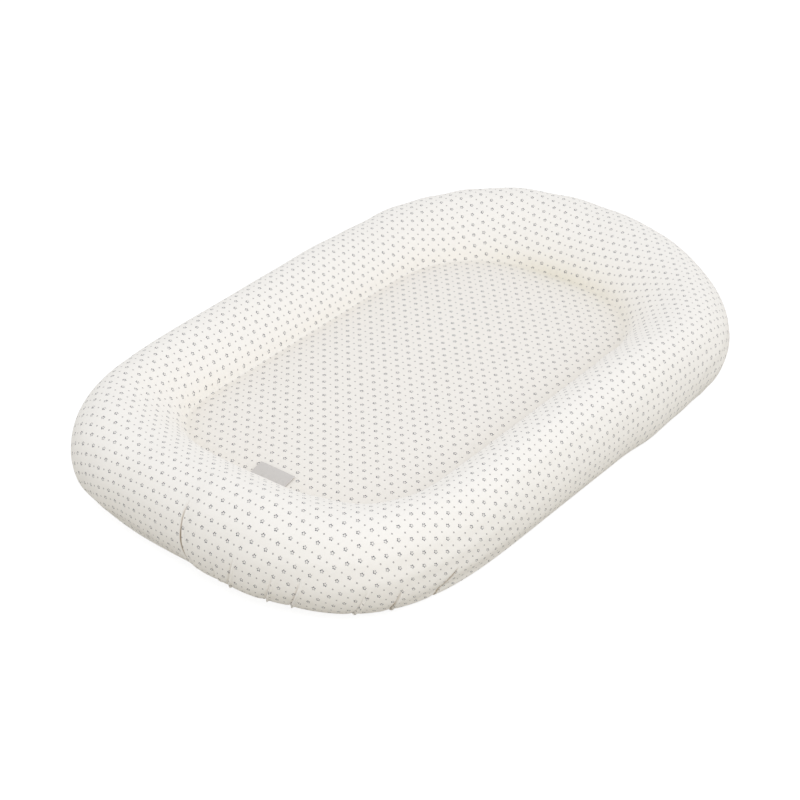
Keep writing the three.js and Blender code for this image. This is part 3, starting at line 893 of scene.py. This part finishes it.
def add_print(maths, ground, x, y, slubs):
    wobble = maths.do("MULTIPLY", maths.do("SUBTRACT", slubs, 0.5), PRINT_WOBBLE)
    x = maths.do("ADD", x, wobble)
    ink = 0
    for shifts, turned in BLOOMS:
        offsets = lattice_offsets(maths, x, y, shifts)
        ink = maths.do("MAXIMUM", ink, flower_mask(maths, *offsets, turned))
    dots = 0
    for shifts in DOTS:
        offsets = lattice_offsets(maths, x, y, shifts)
        dots = maths.do("MAXIMUM", dots, disc_mask(maths, *offsets, DOT_RADIUS))
    wear = maths.rescale(slubs, *WEAR_RANGE, WORN_INK, 1)
    tone = maths.mix_colour(maths.do("MULTIPLY", dots, wear), ground, DOT_INK)
    return maths.mix_colour(maths.do("MULTIPLY", ink, wear), tone, FLOWER_INK)


# Plain weave: threads along both directions of the cloth
def weave_height(maths, x, y, pitch):
    waves = [maths.do("SINE", maths.do("MULTIPLY", value, FULL_CIRCLE / pitch)) for value in (x, y)]
    return maths.do("MULTIPLY", *waves)


def add_cloth_material(name, colours, printed, pitch, roughness, sheen):
    maths, shader = new_material(name)
    ground, shade = colours
    flat = maths.node("ShaderNodeUVMap", uv_map="flat_cut").outputs[0]
    x, y, _ = maths.split(flat)
    mottle = maths.do("MULTIPLY", maths.noise(flat, *MOTTLE_NOISE), MOTTLE_STRENGTH)
    slubs = maths.noise(flat, *SLUB_NOISE)
    tone = maths.mix_colour(mottle, ground, shade)
    tone = maths.mix_colour(maths.do("MULTIPLY", slubs, SLUB_STRENGTH), tone, shade)
    # Painted shade of the crease and of the tucks, mixed into the cloth's colour
    for painted_shade_name, painted_shade_colour in (("crease_shade", PAINTED_CREASE_SHADE_COLOUR), ("painted_tuck_shade", PAINTED_TUCK_SHADE_COLOUR)):
        depth = maths.node("ShaderNodeAttribute", attribute_name=painted_shade_name).outputs["Fac"]
        tone = maths.mix_colour(depth, tone, painted_shade_colour)
    if printed:
        tone = add_print(maths, tone, x, y, slubs)
    spread = (roughness - ROUGHNESS_SPREAD, roughness + ROUGHNESS_SPREAD)
    crumple = maths.bump(maths.noise(flat, *CRUMPLE_NOISE), *CRUMPLE_BUMP)
    threads = maths.do("MULTIPLY", weave_height(maths, x, y, pitch), WEAVE_SHARE)
    sockets = {
        "Base Color": tone,
        "Roughness": maths.rescale(slubs, *SLUB_RANGE, *spread),
        "Sheen Weight": sheen,
        "Sheen Roughness": SHEEN_ROUGHNESS,
        "Specular IOR Level": CLOTH_SPECULAR,
        "Normal": maths.bump(maths.do("ADD", threads, slubs), *WEAVE_BUMP, Normal=crumple),
    }
    maths.fill(shader, sockets)


# A colour speckled with a darker share of itself, and the specks
def speckles(maths, colour, shade, scale, detail):
    coordinates = maths.node("ShaderNodeTexCoord").outputs["Object"]
    specks = maths.noise(coordinates, scale, detail)
    return maths.mix_colour(specks, colour, tuple(shade * channel for channel in colour)), specks


def add_fibre_material(name, colour):
    maths, shader = new_material(name)
    tone, strands = speckles(maths, colour, FIBRE_SHADE, *FIBRE_NOISE)
    normal = maths.bump(strands, *FIBRE_BUMP)
    sockets = {"Base Color": tone, "Roughness": 1, "Sheen Weight": FIBRE_SHEEN, "Normal": normal}
    maths.fill(shader, sockets)


def add_hard_material(name, colour, roughness, metallic, grain):
    maths, shader = new_material(name)
    tone, specks = speckles(maths, colour, GRAIN_SHADE, grain, GRAIN_DETAIL)
    spread = (roughness - GRAIN_SMOOTHER, roughness + GRAIN_ROUGHER)
    rough = maths.rescale(specks, *GRAIN_RANGE, *spread)
    rounded = maths.fill(maths.node("ShaderNodeBevel", samples=EDGE_SAMPLES), {"Radius": EDGE_ROUND})
    normal = maths.bump(specks, *GRAIN_BUMP, Normal=rounded)
    sockets = {"Base Color": tone, "Roughness": rough, "Metallic": metallic, "Normal": normal}
    maths.fill(shader, sockets)


for row in CLOTHS:
    add_cloth_material(*row)
for row in FIBRES:
    add_fibre_material(*row)
for row in HARD_MATERIALS:
    add_hard_material(*row)

# Printed cover of the bumper, with its rows closer together over the tucks


def add_cover():
    open_rows = np.linspace(0, 1 - COVER_CLOSE_SHARE, COVER_ROWS - COVER_CLOSE_ROWS, endpoint=False)
    close_rows = np.linspace(1 - COVER_CLOSE_SHARE, 1, COVER_CLOSE_ROWS)
    rows = np.concatenate([open_rows, close_rows])
    points, arcs, row_places = skin_points(0, OUTER_SEAM_PLACE, rows)
    flat = SEAM[:, None] + OUTWARD[:, None] * arcs[..., None]
    # Painted shade in the tucks and along the crease
    painted_shades = {"painted_tuck_shade": painted_tuck_shades(row_places), "crease_shade": crease_shades(arcs)}
    cover = add_cloth("bumper_cover_cloth", "printed_cotton", "bumper_cover", points, flat, **painted_shades)


add_cover()

# Stuffing of the bumper: a closed ring inside the cover, the base and the inner wall


def add_stuffing():
    points, _, row_places = skin_points(*STUFFING_PLACES, np.linspace(0, 1, STUFFING_ROWS))
    at_tape = plateau(row_places, TAPE_RISE_PLACES, TAPE_FALL_PLACES)
    inset = CLOTH + STUFFING_GAP + (EDGE_TAPE + GAP) * at_tape
    points -= grid_normals(points) * inset[..., None]
    stuffing = make_object("bumper_stuffing", points, grid_faces(len(TURNS), STUFFING_ROWS, tube=True))
    place(stuffing, "polyester_fibre", "bumper_filling")


add_stuffing()

# Tape inside the outer seam


def add_edge_tape():
    points, arcs, _ = skin_points(*EDGE_TAPE_PLACES, np.linspace(0, 1, EDGE_TAPE_ROWS))
    points -= grid_normals(points) * (CLOTH + GAP)
    flat = grid_points(TURNS[:, None] * OUTER_PERIMETER, arcs)
    tape = add_cloth("outer_seam_tape_cloth", "cotton_tape", "outer_seam_tape", points, flat, EDGE_TAPE)


add_edge_tape()

# Strips that stand on edge along the mat's seam: the inner wall and the folded binding over it


def standing_strip(offsets, heights):
    points = np.zeros((len(TURNS), len(heights), 3))
    points[..., :2] = SEAM[:, None] + NORMAL[:, None] * offsets[..., None]
    points[..., 2] = heights
    return points, grid_points(SEAM_STEPS.cumsum()[:, None], heights)


def add_inner_wall():
    heights = np.linspace(INSIDE_BOTTOM, BINDING_TOP - BINDING_DEPTH - GAP, WALL_ROWS)
    bow = np.sin(math.pi * np.linspace(0, 1, WALL_ROWS))
    offsets = WALL_BOW * wander(TURNS, *WALL_WANDER)[:, None] * bow
    points, flat = standing_strip(offsets, heights)
    wall = add_cloth("inner_wall_cloth", "plain_cotton", "bumper_inner_wall", points, flat, offset=0)


def add_binding():
    angles = np.linspace(0, math.pi, FOLD_STEPS)
    offsets = np.concatenate([[1], np.cos(angles), [-1]]) * BINDING_HALF
    edge = [BINDING_TOP - BINDING_DEPTH]
    heights = np.concatenate([edge, BINDING_TOP - BINDING_HALF * (1 - np.sin(angles)), edge])
    points, flat = standing_strip(offsets + 0 * TURNS[:, None], heights)
    flat[..., 1] += np.sign(offsets) * BINDING_DEPTH
    names = ("seam_binding_tape", "cotton_tape", "mat_seam_binding")
    binding = add_cloth(*names, points, flat, BINDING_TAPE, offset=0)


add_inner_wall()
add_binding()

# Mat: printed top panel, crowned, drawn down into the crease at its seam

mat_shares = 1 - (1 - np.linspace(1 / MAT_ROWS, 1, MAT_ROWS)) ** MAT_ROW_POWER


def mat_relief(points, inwards):
    x, y = points[..., 0], points[..., 1]
    chance = np.random.default_rng(MAT_WAVE_SEED)
    soft = np.zeros_like(x)
    for _ in range(MAT_WAVES):
        heading = chance.uniform(0, math.pi)
        length = chance.uniform(*MAT_WAVE_LENGTHS)
        phase = chance.uniform(0, FULL_CIRCLE)
        soft += np.sin((x * math.cos(heading) + y * math.sin(heading)) * FULL_CIRCLE / length + phase)
    away = smoothstep(inwards, 0, 2 * SEAM_PUCKER_REACH)
    waves = MAT_WAVE * soft / math.sqrt(MAT_WAVES) * away
    return waves + seam_puckers(inwards, MAT_PUCKERS)


def mat_grid(shares, drop):
    reach = np.linalg.norm(SEAM, axis=1)[:, None]
    edge = SEAM - NORMAL * CREASE_HALF_GAP
    inwards = reach * (1 - shares)
    plan = edge[:, None] * shares[None, :, None]
    heights = mat_height_at(inwards, reach) - drop
    points = np.concatenate([plan, heights[..., None]], -1)
    ease_corner(points, -inwards)
    points[..., 2] += mat_relief(points, inwards)
    return points, inwards


def add_hubs(points, *rows):
    hubs = np.array([[0, 0, points[:, row, 2].mean()] for row in rows])
    return np.concatenate([points.reshape(-1, 3), hubs])


def add_mat_top():
    grid, inwards = mat_grid(mat_shares, 0)
    points = add_hubs(grid, 0)
    faces = disc_faces(len(TURNS), MAT_ROWS)
    # Painted shade along the crease; the hub has none
    painted_shades = np.append(crease_shades(inwards), 0)
    mat_top = make_object("mat_top_cloth", points, faces, points[:, :2], crease_shade=painted_shades)
    thicken(mat_top, CLOTH)
    place(mat_top, "printed_cotton", "mat_top_panel", material="printed_cotton_mat_painted_shade")
    return mat_top


mat_top = add_mat_top()

# Padding of the mat: a crowned closed pad, hollowed underneath over the zip


def pad_rounding(inwards):
    return PAD_EDGE_ROUND * np.clip(1 - inwards / (2 * PAD_EDGE_ROUND), 0, 1) ** 2


def padding_grid():
    top, inwards = mat_grid(mat_shares[:-1], CLOTH + STUFFING_GAP)
    top[..., 2] -= pad_rounding(inwards)
    side = np.zeros((len(TURNS), len(PAD_SIDE_PROFILE), 3))
    for j, (height_share, back) in enumerate(PAD_SIDE_PROFILE):
        side[:, j, :2] = SEAM - NORMAL * (PAD_SIDE_SLACK + back)
        side[:, j, 2] = INSIDE_BOTTOM + (top[:, -1, 2].min() - INSIDE_BOTTOM) * height_share
    bottom = top[:, ::-1].copy()
    zip_middle = (ZIP_HEAD + ZIP_FOOT) / 2
    half_groove = (ZIP_HEAD - ZIP_FOOT) / 2 + GROOVE_PAST_ZIP
    across = 1 - smoothstep(abs(bottom[..., 1]), GROOVE_HALF_WIDTH, GROOVE_HALF_WIDTH + GROOVE_SLOPE)
    along = 1 - smoothstep(abs(bottom[..., 0] - zip_middle), half_groove, half_groove + GROOVE_SLOPE)
    bottom[..., 2] = INSIDE_BOTTOM + GROOVE_DEPTH * across * along + pad_rounding(inwards[:, ::-1])
    return np.concatenate([top, side, bottom], 1)


def add_padding():
    grid = padding_grid()
    faces = closed_disc_faces(len(TURNS), grid.shape[1])
    padding = make_object("mat_padding", add_hubs(grid, 0, -1), faces)
    place(padding, "polyester_fibre", "mat_pad")


add_padding()

# Base: one panel on each side of the middle seam, cut away round the zip


def slot_edge(x):
    return np.where((x > SLOT_FOOT) & (x < SLOT_HEAD), ZIP_SLOT_HALF_WIDTH, GAP / 2)


def base_panel_points(edge, side):
    if side > 0:
        chosen = np.flatnonzero(TURNS <= FOOT_TURN)
    else:
        chosen = np.append(np.flatnonzero(TURNS >= FOOT_TURN), 0)
    outer = edge[chosen]
    seam = outer[:, -1]
    target_x = seam[:, 0] * BASE_TARGET_SHARE
    target_y = slot_edge(target_x) * side
    for end in (SLOT_HEAD, SLOT_FOOT):
        crossing = np.flatnonzero(np.diff(target_x > end) != 0)[0]
        inner, other = crossing, crossing + 1
        if target_x[crossing] * np.sign(end) > abs(end):
            inner, other = other, inner
        target_x[[inner, other]] = end
        target_y[inner] = ZIP_SLOT_HALF_WIDTH * side
        target_y[other] = GAP / 2 * side
    shares = np.linspace(0, 1, BASE_INNER_ROWS)[1:]
    x = seam[:, 0, None] + (target_x - seam[:, 0])[:, None] * shares
    y = seam[:, 1, None] + (target_y - seam[:, 1])[:, None] * shares
    inner_points = grid_points(x, y, MAT_BASE_HEIGHT)
    points = np.concatenate([outer, inner_points], 1)
    points[..., 1] = np.maximum(points[..., 1] * side, GAP / 2) * side
    return points


def add_base_panel(edge, side, name):
    points = base_panel_points(edge, side)
    panel = add_cloth("base_cloth_" + name, "plain_cotton", "base_panel_" + name, points, closed=False)


base_edge, _, _ = skin_points(OUTER_SEAM_PLACE, LAST_PLACE, np.linspace(0, 1, BASE_EDGE_ROWS))
for side, name in SIDES:
    add_base_panel(base_edge, side, name)

# Woven label at the foot end: a strip that comes out of the mat's seam and lies on the mat


def mat_height(x, y):
    hit, point, _, _ = mat_top.ray_cast((x, y, 2 * BUMPER_HEIGHT), (0, 0, -1))
    return point.z if hit else SEAM_HEIGHT - CREASE_DROP


def add_label():
    reach_shares = np.linspace(0, 1, LABEL_ROWS)
    across = np.linspace(-0.5, 0.5, LABEL_COLUMNS)[:, None] * LABEL_LENGTH + LABEL_OFFSET
    x = -SEAM_FOOT_REACH + LABEL_START + LABEL_REACH * reach_shares
    on_mat = np.vectorize(mat_height)(x, across)
    bow = 1 + LABEL_BOW * np.sin(LABEL_BOW_TURN * across / LABEL_LENGTH + LABEL_BOW_START)
    lifted = LABEL_LIFT * smoothstep(reach_shares, *LABEL_LIFT_SHARES) * bow
    points = grid_points(x, across, on_mat + GAP + lifted)
    names = ("woven_label_strip", "woven_grey", "woven_label")
    label = add_cloth(*names, points, thickness=LABEL_THICKNESS, offset=1, closed=False)


bpy.context.view_layer.update()
add_label()

# Care label: blank satin, sewn in the base's middle seam and lying against the base


def add_care_label():
    along = np.linspace(0, 1, CARE_ROWS)[None, :]
    out = np.linspace(0, 1, CARE_COLUMNS)[:, None]
    x = -SEAM_FOOT_REACH + CARE_FROM_SEAM + CARE_LENGTH * along
    ripple = CARE_RIPPLE * np.sin(CARE_RIPPLE_ALONG * along + CARE_RIPPLE_OUT * out)
    droop = CARE_DROOP * out * (1 + ripple)
    points = grid_points(x, GAP + CARE_WIDTH * out, MAT_BASE_HEIGHT - GAP - droop)
    names = ("care_label_satin", "satin", "care_label")
    care_label = add_cloth(*names, points, thickness=CARE_THICKNESS, closed=False)


add_care_label()

# Zip: two tapes on the base, a coil along each, and topstitching beside them in the base


def ring_angles(sides):
    return np.arange(sides) / sides * FULL_CIRCLE


def add_zip_tape(side, name):
    along = np.linspace(ZIP_FOOT - ZIP_TAPE_TAIL, ZIP_HEAD + ZIP_TAPE_TAIL, ZIP_TAPE_STEPS)
    across = np.linspace(TAPE_INNER, TAPE_INNER + ZIP_TAPE_WIDTH, ZIP_TAPE_COLUMNS) * side
    points = grid_points(along[:, None], across, TAPE_MIDDLE)
    names = ("zip_tape_cloth_" + name, "cotton_tape", "zip_tape_" + name)
    tape = add_cloth(*names, points, thickness=ZIP_TAPE_THICKNESS, offset=0, closed=False)


def coil_points(side):
    turns_count = (ZIP_HEAD - ZIP_FOOT - 2 * COIL_WIRE) / COIL_PITCH
    angle = np.linspace(0, FULL_CIRCLE * turns_count, int(turns_count * COIL_STEPS))
    half_width = COIL_WIDTH / 2 - COIL_WIRE
    half_height = COIL_HEIGHT / 2 - COIL_WIRE
    x = ZIP_FOOT + COIL_WIRE + angle / FULL_CIRCLE * COIL_PITCH
    flattened = np.sign(np.cos(angle)) * abs(np.cos(angle)) ** COIL_FLATNESS
    y = side * (COIL_HALF_GAP + COIL_WIDTH / 2 + half_width * flattened)
    z = TAPE_MIDDLE + half_height * np.sin(angle)
    centre = np.stack([x, y, z], -1)
    tangent = unit(np.gradient(centre, axis=0))
    first = unit(np.cross(tangent, (1, 0, 0)))
    second = np.cross(tangent, first)
    angles = ring_angles(COIL_SIDES)[:, None]
    ring = first[:, None] * np.cos(angles) + second[:, None] * np.sin(angles)
    return centre[:, None] + ring * COIL_WIRE


def add_coil(side, name):
    points = coil_points(side)
    coil = make_object("zip_spiral_" + name, points, capped_tube_faces(*points.shape[:2]))
    place(coil, "nylon", "zip_coil_" + name)


def stitch_points(x, y):
    along = np.linspace(-1, 1, STITCH_RINGS)[:, None]
    fullness = np.sqrt(np.clip(1 - along**2, 0, 1)) + STITCH_TIP
    angles = ring_angles(STITCH_SIDES)
    radius = STITCH_RADIUS * fullness
    ring_x = x + STITCH_LENGTH / 2 * along
    ring_y = y + radius * np.cos(angles)
    ring_z = MAT_BASE_HEIGHT - STITCH_RADIUS / 2 + radius * np.sin(angles)
    return grid_points(ring_x, ring_y, ring_z)


def add_topstitch(side, name):
    y = side * (ZIP_SLOT_HALF_WIDTH + STITCH_FROM_EDGE)
    grids = [stitch_points(x, y) for x in np.arange(SLOT_FOOT, SLOT_HEAD, STITCH_PITCH)]
    one_stitch = capped_tube_faces(STITCH_RINGS, STITCH_SIDES)
    faces = []
    for index in range(len(grids)):
        first_corner = index * STITCH_RINGS * STITCH_SIDES
        faces += [tuple(corner + first_corner for corner in face) for face in one_stitch]
    stitches = make_object("zip_topstitch_" + name, np.concatenate(grids), faces)
    place(stitches, "cotton_tape", material="sewing_thread")


for side, name in SIDES:
    add_zip_tape(side, name)
    add_coil(side, name)
for side, name in SIDES:
    add_topstitch(side, name)

# Stops, slider and pull keep their shapes

for material, nodes in (
    ("nylon", ("zip_top_stop_far", "zip_top_stop_near", "zip_bottom_stop")),
    ("lacquered_zinc", ("zip_slider", "zip_pull")),
):
    for node in nodes:
        hard_piece = bpy.data.objects[node]
        hard_piece.data.materials.clear()
        hard_piece.data.materials.append(materials[material])

# Studio: floor, light and camera


# 1 for rays of camera, gloss and glass, and 0 for the ones that light the object
def seen_mask(maths):
    rays = maths.node("ShaderNodeLightPath").outputs
    seen = maths.do("MAXIMUM", rays["Is Camera Ray"], rays["Is Glossy Ray"])
    return maths.do("MAXIMUM", seen, rays["Is Transmission Ray"])


def add_floor():
    mesh = bpy.data.meshes.new("floor")
    corners = [(-1, -1), (1, -1), (1, 1), (-1, 1)]
    mesh.from_pydata([(x * FLOOR_HALF, y * FLOOR_HALF, 0) for x, y in corners], [], [(0, 1, 2, 3)])
    floor = in_scene("floor", mesh)
    maths, shader = new_material("studio_floor")
    maths.tree.nodes.remove(shader)
    surface = maths.fill(maths.node("ShaderNodeBsdfDiffuse"), {"Color": FLOOR_BOUNCE})
    shadow = maths.fill(maths.node("ShaderNodeBsdfDiffuse"), {"Color": FLOOR_SHADOW})
    glow = maths.fill(maths.node("ShaderNodeEmission"), {"Strength": FLOOR_GLOW})
    both = maths.fill(maths.node("ShaderNodeAddShader"), {0: shadow, 1: glow})
    mix = maths.fill(maths.node("ShaderNodeMixShader"), {0: seen_mask(maths), 1: surface, 2: both})
    maths.tree.links.new(mix, maths.tree.nodes["Material Output"].inputs["Surface"])
    floor.data.materials.append(materials["studio_floor"])


def add_world():
    world = bpy.data.worlds.new("studio")
    bpy.context.scene.world = world
    world.use_nodes = True
    maths = Maths(world.node_tree)
    seen = seen_mask(maths)
    _, _, upward = maths.split(maths.node("ShaderNodeTexCoord").outputs["Generated"])
    sky = maths.rescale(upward, 0, 1, SKY_AT_HORIZON, SKY_OVERHEAD)
    strength = maths.rescale(seen, 0, 1, sky, 1)
    colour = maths.mix_colour(seen, STUDIO_LIGHT, WHITE)
    maths.fill(maths.tree.nodes["Background"], {"Strength": strength, "Color": colour})


def add_key_light():
    lamp = bpy.data.lights.new("key", "AREA")
    lamp.shape = "SQUARE"
    lamp.size = KEY_SIZE
    lamp.energy = KEY_POWER
    lamp.color = STUDIO_LIGHT
    lamp_object = in_scene("key", lamp)
    lamp_object.location = KEY_PLACE
    lamp_object.rotation_euler = (-KEY_PLACE).to_track_quat("-Z", "Y").to_euler()


def add_camera():
    camera = bpy.data.cameras.new("camera")
    camera.lens = CAMERA_LENS
    camera_object = in_scene("camera", camera)
    camera_object.location = CAMERA_PLACE
    camera_object.rotation_euler = CAMERA_HEADING.to_track_quat("-Z", "Y").to_euler()
    bpy.context.scene.camera = camera_object


add_floor()
add_world()
add_key_light()
add_camera()
bpy.context.scene.view_settings.view_transform = "Standard"
